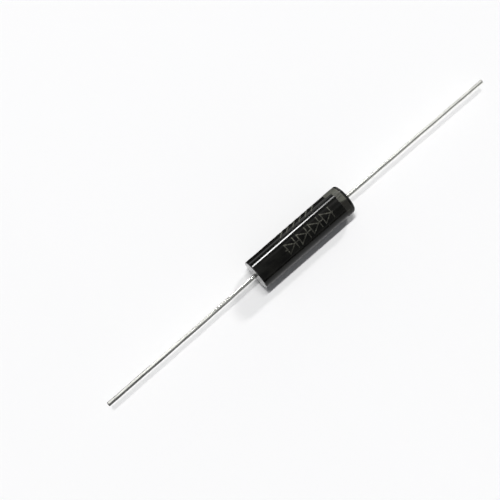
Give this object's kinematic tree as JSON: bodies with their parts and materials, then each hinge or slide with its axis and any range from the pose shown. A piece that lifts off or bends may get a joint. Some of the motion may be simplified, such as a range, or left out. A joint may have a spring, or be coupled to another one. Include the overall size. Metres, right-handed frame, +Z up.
{
  "type": "axial high voltage rectifier diode",
  "caption": "Axial-lead high voltage rectifier diode: a stack of silicon dice cast in a black epoxy cylinder, with a printed cathode band and straight tinned leads.",
  "frame": {"origin": "middle of the body, on the axis of the leads", "axes": "+X along the axis from the anode towards the banded cathode end, +Z up through the top of the body, +Y to complete a right-handed frame"},
  "size_m": [0.092, 0.006, 0.006],
  "materials": {
    "epoxy": "black cast epoxy resin with a gloss surface",
    "lead": "bright tin plating on copper wire",
    "ink": "thin matt grey marking ink",
    "silicone": "soft translucent white silicone coating",
    "silicon": "polished dark grey silicon",
    "solder": "dull high-lead solder"
  },
  "bodies": {
    "root": {"epoxy_body": "epoxy", "anode_lead": "lead", "cathode_lead": "lead", "junction_coating": "silicone", "cathode_band": "ink", "polarity_symbol": "ink", "chevron_row": "ink", "silicon_die_01": "silicon", "silicon_die_02": "silicon", "silicon_die_03": "silicon", "silicon_die_04": "silicon", "silicon_die_05": "silicon", "silicon_die_06": "silicon", "silicon_die_07": "silicon", "silicon_die_08": "silicon", "silicon_die_09": "silicon", "silicon_die_10": "silicon", "silicon_die_11": "silicon", "silicon_die_12": "silicon", "silicon_die_13": "silicon", "silicon_die_14": "silicon", "silicon_die_15": "silicon", "silicon_die_16": "silicon", "silicon_die_17": "silicon", "silicon_die_18": "silicon", "silicon_die_19": "silicon", "silicon_die_20": "silicon", "solder_layer_01": "solder", "solder_layer_02": "solder", "solder_layer_03": "solder", "solder_layer_04": "solder", "solder_layer_05": "solder", "solder_layer_06": "solder", "solder_layer_07": "solder", "solder_layer_08": "solder", "solder_layer_09": "solder", "solder_layer_10": "solder", "solder_layer_11": "solder", "solder_layer_12": "solder", "solder_layer_13": "solder", "solder_layer_14": "solder", "solder_layer_15": "solder", "solder_layer_16": "solder", "solder_layer_17": "solder", "solder_layer_18": "solder", "solder_layer_19": "solder", "solder_layer_20": "solder", "solder_layer_21": "solder"}
  },
  "joints": []
}
